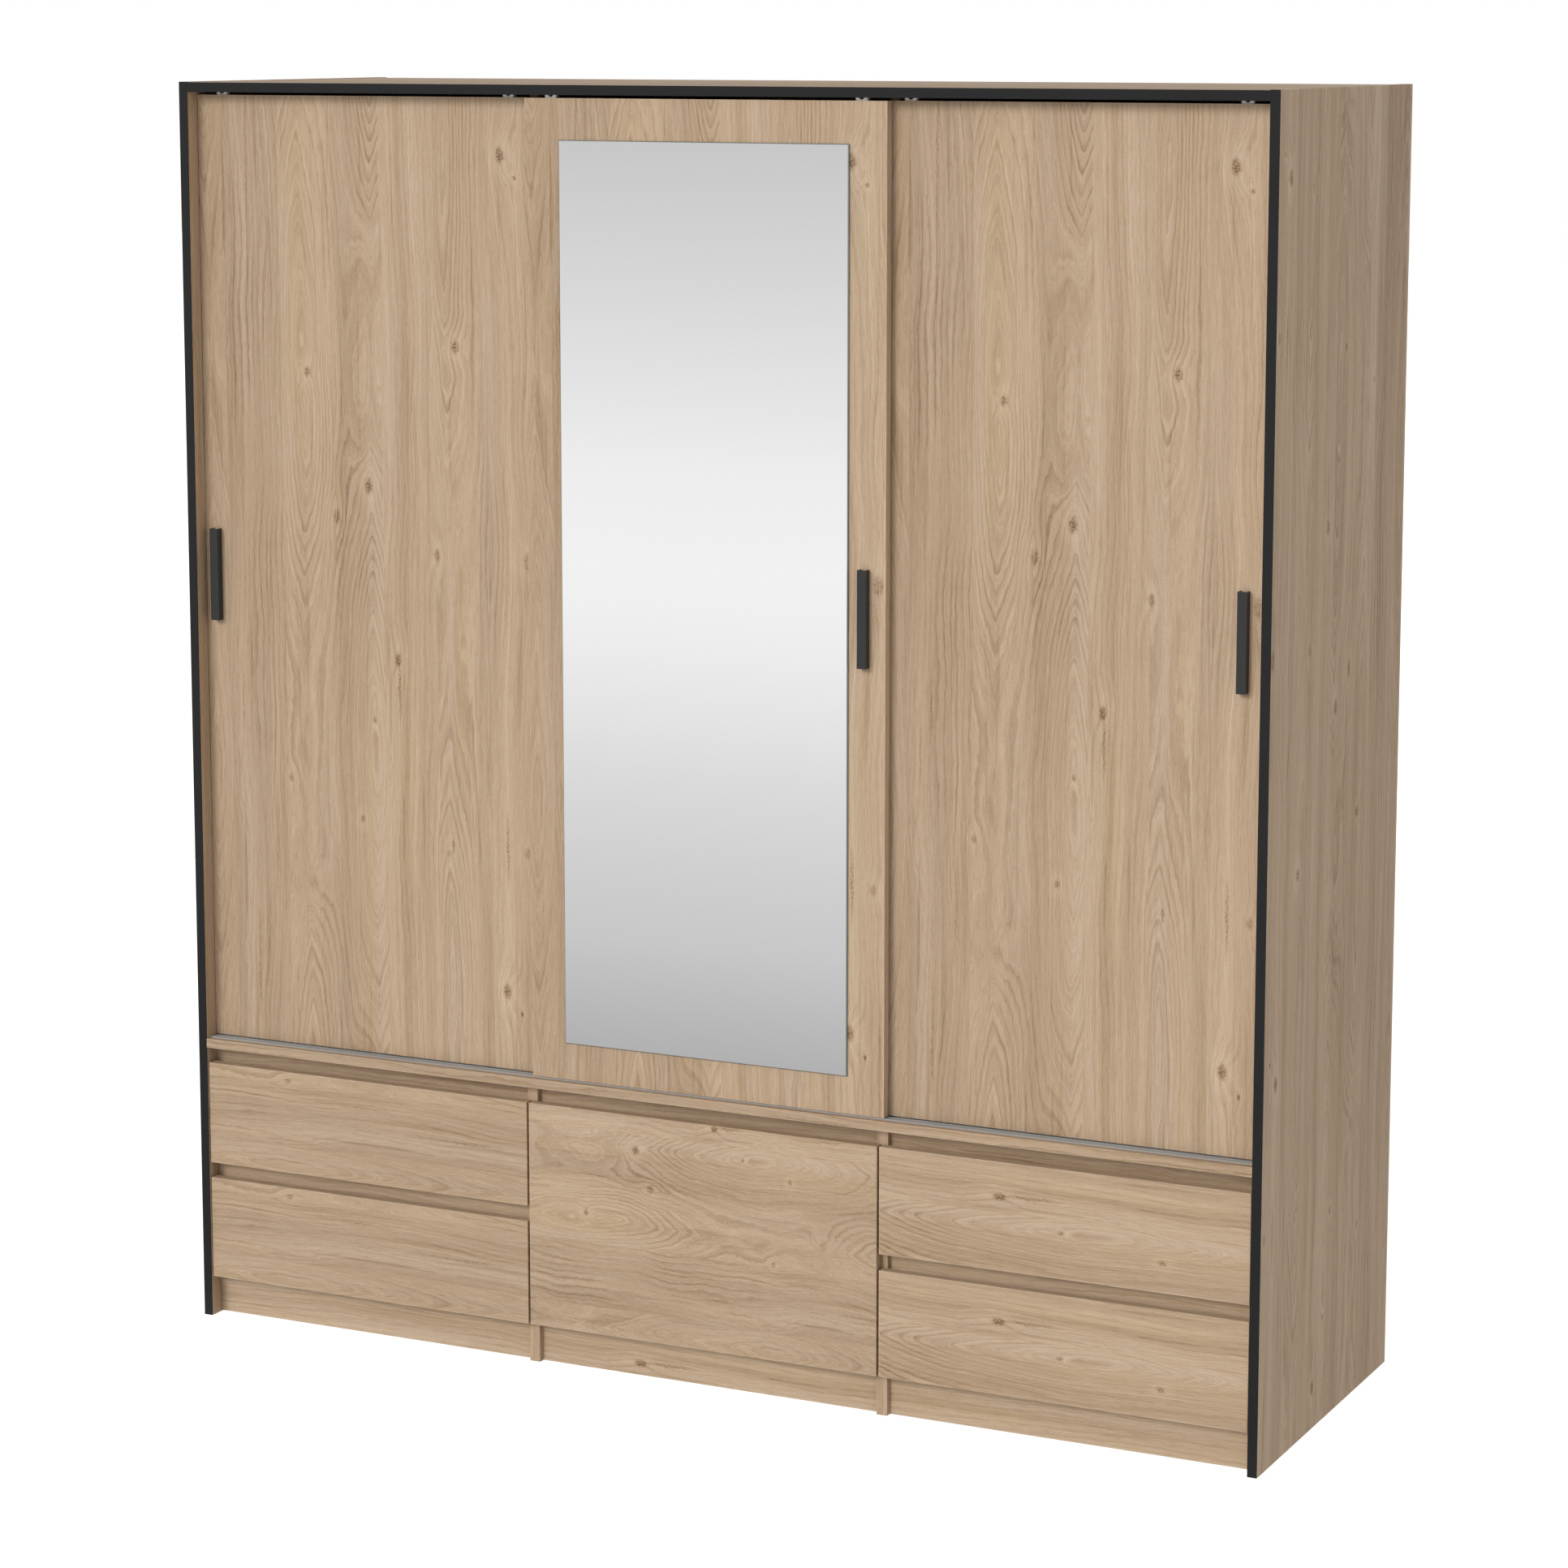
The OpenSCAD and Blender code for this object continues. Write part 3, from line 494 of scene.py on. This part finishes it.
# painted shade: the liner is given dark grey to stand in for the shade in its groove above the doors
paint(["top_track_liners"], speckled("liner_plastic", tone(52, 52, 52), 0.5))
paint(named("door_", "_guides") + named("door_", "_housings"),
      speckled("guide_plastic", tone(250, 250, 248), 0.4, spread=0.03))
paint([name for name in NODES if "_wheel_" in name],
      speckled("wheel_plastic", tone(196, 196, 192), 0.35, spread=0.05))
paint(named("back_sheet_", ""), speckled("back_foil", tone(222, 218, 210), 0.55, grain=500.0, spread=0.04))
paint(["back_joint_strips"], speckled("joint_plastic", tone(232, 232, 228), 0.4, spread=0.03))
paint(["shelf_pins", "cam_locks", "rail_sockets"],
      speckled("fitting_steel", tone(190, 192, 194), 0.32, spread=0.1, metallic=1.0))
paint(["clothes_rails"], brushed("rail_chrome", tone(206, 208, 210), 0.16, X, spread=0.05))
paint(["runners_fixed"] + named("drawer_", "_runners"), brushed("runner_steel", tone(176, 178, 180), 0.36, Y))
paint(named("drawer_", "_box"), speckled("drawer_foil", tone(214, 209, 198), 0.55, grain=700.0, spread=0.04))


# ---------------------------------------------------------------- small radii on boards, strips and handles

BOARD_RADIUS, STRIP_RADIUS = 0.0007, 0.0004
WELD_REACH = 0.00001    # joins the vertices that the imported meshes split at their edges
SHARP = 50              # degrees from which an edge is rounded


def soften(names, radius):
    for name in names:
        weld = NODES[name].modifiers.new("weld", "WELD")
        weld.merge_threshold = WELD_REACH
        edge = NODES[name].modifiers.new("edge", "BEVEL")
        edge.width = radius
        edge.segments = 2
        edge.limit_method = "ANGLE"
        edge.angle_limit = math.radians(SHARP)
        edge.harden_normals = True


soften(PANELS + FRONTS + DIVIDERS + CARCASS_BOARDS, BOARD_RADIUS)
soften(STRIPS_BLACK + HANDLES, STRIP_RADIUS)


# ---------------------------------------------------------------- extra pieces


def mesh_piece(name, mats, build, *details):
    """A new object with the mesh that build(shape, *details) makes."""
    data = bpy.data.meshes.new(name)
    shape = bmesh.new()
    build(shape, *details)
    shape.to_mesh(data)
    shape.free()
    piece = bpy.data.objects.new(name, data)
    bpy.context.scene.collection.objects.link(piece)
    for mat in mats:
        data.materials.append(mat)
    return piece


def belt(shape, first, second):
    """Faces all round between two rings of vertices."""
    corners = zip(first, first[1:] + first[:1], second[1:] + second[:1], second)
    return [shape.faces.new(corner) for corner in corners]


# The mirror: a silvered face, a ground bevel all round and a matt edge
GROUND = 0.0012  # width of the ground bevel
SILVER_SLOT, GROUND_SLOT = 0, 1


def mirror_shape(shape):
    low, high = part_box("door_middle_mirror")
    rings = []
    for inset, y in ((0.0, high.y), (0.0, low.y + GROUND), (GROUND, low.y)):
        corners = ((low.x + inset, low.z + inset), (high.x - inset, low.z + inset),
                   (high.x - inset, high.z - inset), (low.x + inset, high.z - inset))
        rings.append([shape.verts.new((x, y, z)) for x, z in corners])
    for face in belt(shape, rings[0], rings[1]) + belt(shape, rings[1], rings[2]):
        face.material_index = GROUND_SLOT
    shape.faces.new(rings[2]).material_index = SILVER_SLOT
    shape.faces.new(rings[0][::-1]).material_index = GROUND_SLOT
    bmesh.ops.recalc_face_normals(shape, faces=shape.faces)


silver, net, shader = blank("mirror_silver")
haze = net.noise(net.object_place(), 2.0, 3.0)
silver_tones = ((0.3, (0.955, 0.96, 0.958)), (0.7, (0.965, 0.967, 0.966)))
net.put(shader.inputs["Base Color"], net.ramp(haze, silver_tones))
net.put(shader.inputs["Roughness"], net.span(haze, 0.3, 0.7, 0.012, 0.03, smooth=False))
shader.inputs["Metallic"].default_value = 1.0
ground = speckled("mirror_ground_edge", tone(150, 158, 156), 0.3, grain=1800.0, spread=0.1, metallic=0.6)
mirror = mesh_piece("mirror_glass", (silver, ground), mirror_shape)
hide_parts("door_middle_mirror")
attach(mirror, "door_middle")

# Screws behind the handles and nails round the back sheets
SCREW_RADIUS, SCREW_RISE = 0.004, 0.0012
SCREW_REACH = 0.33                      # of the handle's height, from its middle to a screw
NAIL_RADIUS, NAIL_RISE = 0.0026, 0.0007
NAILS, NAIL_INSET = 5, 0.04             # nails in each row of a sheet, and where the row starts
FACETS = 20
PROFILE = ((1.0, 0.0), (0.96, 0.45), (0.78, 0.8), (0.5, 0.97))  # a head's rings: parts of its radius and rise
CROSS_LONG, CROSS_WIDE = 0.42, 0.11     # half sizes of the cross recess, as parts of the head's radius
CROSS_FLOOR = 0.3                       # height of its floor, as a part of the head's rise


def outline(shape, place, points, rise):
    """A ring of vertices at these x and z steps from a place, and `rise` behind it."""
    return [shape.verts.new((place[X] + x, place[Y] + rise, place[Z] + z)) for x, z in points]


def dome(shape, place, radius, rise):
    """A domed head on a face that looks along +Y. It gives its last ring, which is still open."""
    turns = [math.tau * step / FACETS for step in range(FACETS)]
    rings = [outline(shape, place, [(radius * size * math.cos(turn), radius * size * math.sin(turn))
                                    for turn in turns], rise * height) for size, height in PROFILE]
    for lower, upper in zip(rings, rings[1:]):
        belt(shape, lower, upper)
    return rings[-1]


def screw(shape, place):
    """A screw head with a cross recess."""
    rim = dome(shape, place, SCREW_RADIUS, SCREW_RISE)
    long, wide = SCREW_RADIUS * CROSS_LONG, SCREW_RADIUS * CROSS_WIDE
    cross = ((wide, long), (-wide, long), (-wide, wide), (-long, wide), (-long, -wide), (-wide, -wide),
             (-wide, -long), (wide, -long), (wide, -wide), (long, -wide), (long, wide), (wide, wide))
    brim = outline(shape, place, cross, SCREW_RISE * PROFILE[-1][1])
    bottom = outline(shape, place, cross, SCREW_RISE * CROSS_FLOOR)
    edges = [shape.edges.new(pair) for pair in zip(brim, brim[1:] + brim[:1])]
    edges += [shape.edges.get(pair) for pair in zip(rim, rim[1:] + rim[:1])]
    bmesh.ops.triangle_fill(shape, edges=edges, use_beauty=True)
    belt(shape, brim, bottom)
    shape.faces.new(bottom)


def screws_shape(shape, side):
    low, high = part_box(f"door_{side}_handle")
    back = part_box(f"door_{side}_panel")[1].y
    reach = (high.z - low.z) * SCREW_REACH
    for step in (-reach, reach):
        screw(shape, ((low.x + high.x) / 2, back, (low.z + high.z) / 2 + step))
    bmesh.ops.recalc_face_normals(shape, faces=shape.faces)


def nails_shape(shape):
    rows = [(low.z + high.z) / 2 for low, high in map(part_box, ("bottom_boards", "long_shelf", "top_panel"))]
    for side in SIDES:
        low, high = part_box(f"back_sheet_{side}")
        pitch = (high.x - low.x - 2 * NAIL_INSET) / (NAILS - 1)
        for z in rows:
            for step in range(NAILS):
                place = (low.x + NAIL_INSET + pitch * step, high.y, z)
                shape.faces.new(dome(shape, place, NAIL_RADIUS, NAIL_RISE))
    bmesh.ops.recalc_face_normals(shape, faces=shape.faces)


zinc = speckled("screw_zinc", tone(186, 188, 190), 0.34, grain=2200.0, spread=0.12, metallic=1.0)
for side in SIDES:
    screws = mesh_piece(f"handle_screws_{side}", (zinc,), screws_shape, side)
    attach(screws, f"door_{side}")
nails = mesh_piece("back_nails", (zinc,), nails_shape)
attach(nails, "carcass")


# ---------------------------------------------------------------- stage, light, camera

FLOOR_REACH = 30.0
FLOOR_GLOW = 0.75


def floor_shape(shape):
    corners = ((-1, -1), (1, -1), (1, 1), (-1, 1))
    shape.faces.new([shape.verts.new((x * FLOOR_REACH, y * FLOOR_REACH, 0.0)) for x, y in corners])


pale, net, shader = blank("floor_pale")
mottle = net.noise(net.object_place(), 3.0, 3.0)
net.put(shader.inputs["Base Color"], net.ramp(mottle, ((0.3, (0.80, 0.80, 0.80)), (0.7, (0.82, 0.82, 0.82)))))
shader.inputs["Roughness"].default_value = 0.9
shader.inputs["Specular IOR Level"].default_value = 0.1
shader.inputs["Emission Color"].default_value = (1, 1, 1, 1)
shader.inputs["Emission Strength"].default_value = FLOOR_GLOW
floor = mesh_piece("floor", (pale,), floor_shape)
floor.visible_diffuse = floor.visible_glossy = False

# A card that only gloss sees: it gives the mirror the soft bands of a studio. It lies on the floor in front
# of the wardrobe, bends up through a quarter circle and ends as a wall. Its profile is (y, z) in metres.
CARD_HALF = 9.0        # half its width
CARD_LIFT = 0.0015     # clear of the floor
CARD_FRONT = 0.36      # where it starts, in front of the wardrobe's middle
CARD_BEND = 8.0        # where the bend starts
BEND_RADIUS = 1.0
FLAT_STEP, FLAT_ROWS = 0.2, 39
WALL_STEP, WALL_ROWS = 0.25, 24
CARD_PROFILE = [(-CARD_FRONT - FLAT_STEP * row, CARD_LIFT) for row in range(FLAT_ROWS)]
for degrees in range(5, 95, 5):
    turn = math.radians(degrees)
    CARD_PROFILE.append((-CARD_BEND - BEND_RADIUS * math.sin(turn),
                         CARD_LIFT + BEND_RADIUS * (1 - math.cos(turn))))
for row in range(1, WALL_ROWS + 1):
    CARD_PROFILE.append((-CARD_BEND - BEND_RADIUS, BEND_RADIUS + WALL_STEP * row))

# The card's greys by the distance along its profile, in metres
CARD_GREYS = ((0.0, 144), (1.55, 170), (2.75, 200), (4.45, 217), (5.55, 228), (6.85, 237), (8.1, 242),
              (8.6, 238), (9.3, 216), (9.9, 198), (12.0, 190))
CARD_SPAN = 14.0       # the distance that is 1 in its map
CARD_GLOW = 1.03


def card_shape(shape):
    rows = [[shape.verts.new((x, y, z)) for x in (-CARD_HALF, CARD_HALF)] for y, z in CARD_PROFILE]
    run = 0.0
    places = dict.fromkeys(rows[0], run)
    for (left, right), (next_left, next_right) in zip(rows, rows[1:]):
        shape.faces.new((left, right, next_right, next_left))
        run += (next_left.co - left.co).length
        places[next_left] = places[next_right] = run
    layer = shape.loops.layers.uv.new("along")
    for face in shape.faces:
        for loop in face.loops:
            loop[layer].uv = (loop.vert.co.x, places[loop.vert] / CARD_SPAN)


card_mat, net, shader = blank("studio_card")
along = net.split(net.add("ShaderNodeTexCoord").outputs["UV"])[1]
greys = [(distance / CARD_SPAN, tone(grey, grey, grey)) for distance, grey in CARD_GREYS]
net.put(shader.inputs["Emission Color"], net.ramp(along, greys))
shader.inputs["Emission Strength"].default_value = CARD_GLOW
shader.inputs["Base Color"].default_value = (0, 0, 0, 1)
shader.inputs["Specular IOR Level"].default_value = 0.0
card = mesh_piece("studio_card", (card_mat,), card_shape)
card.visible_camera = card.visible_diffuse = card.visible_shadow = card.visible_transmission = False

# The room's light at eye level, and the parts of it that come from straight below and straight above.
# The camera itself sees white.
AMBIENT, NADIR, ZENITH = 0.805, 0.32, 0.40
world = bpy.data.worlds.new("studio")
world.use_nodes = True
world.node_tree.nodes.clear()
bpy.context.scene.world = world
net = Net(world.node_tree)
seen = net.add("ShaderNodeLightPath").outputs["Is Camera Ray"]
rise = net.split(net.add("ShaderNodeTexCoord").outputs["Generated"])[2]
room = net.math("MINIMUM", net.span(rise, -0.1, -1.0, 1.0, NADIR), net.span(rise, 0.1, 1.0, 1.0, ZENITH))
room = net.math("MULTIPLY", room, AMBIENT)
strength = net.math("ADD", net.math("MULTIPLY", room, net.math("SUBTRACT", 1.0, seen)), seen)
sky = net.add("ShaderNodeBackground", {"Color": (1, 1, 1, 1), "Strength": strength})
net.add("ShaderNodeOutputWorld", {"Surface": sky.outputs[0]})

# A broad distant key light from the front left and above. Neither the camera nor gloss sees it.
KEY_TOWARD, KEY_STRENGTH, KEY_SOFTNESS = (2.9, 9.0, -4.8), 1.51, 24.0
key_data = bpy.data.lights.new("key", "SUN")
key_data.energy = KEY_STRENGTH
key_data.angle = math.radians(KEY_SOFTNESS)
key = bpy.data.objects.new("key", key_data)
bpy.context.scene.collection.objects.link(key)
key.rotation_mode = "QUATERNION"
key.rotation_quaternion = Vector(KEY_TOWARD).to_track_quat("-Z", "Y")
key.visible_camera = key.visible_glossy = False

# The photograph's viewpoint. The shift is the largest that keeps the other views whole.
EYE = (2.858, -5.907, 2.097)
LOOKS_DOWN, LOOKS_LEFT = 8.58, 25.81    # degrees
FOCAL_LENGTH, SENSOR = 96.9, 36.0       # millimetres
SHIFT = -0.08
lens = bpy.data.cameras.new("camera")
lens.sensor_width = SENSOR
lens.lens = FOCAL_LENGTH
lens.shift_y = SHIFT
lens.clip_end = 200.0
camera = bpy.data.objects.new("camera", lens)
bpy.context.scene.collection.objects.link(camera)
camera.location = EYE
camera.rotation_euler = (math.radians(90 - LOOKS_DOWN), 0.0, math.radians(LOOKS_LEFT))
bpy.context.scene.camera = camera
bpy.context.scene.view_settings.view_transform = "Standard"
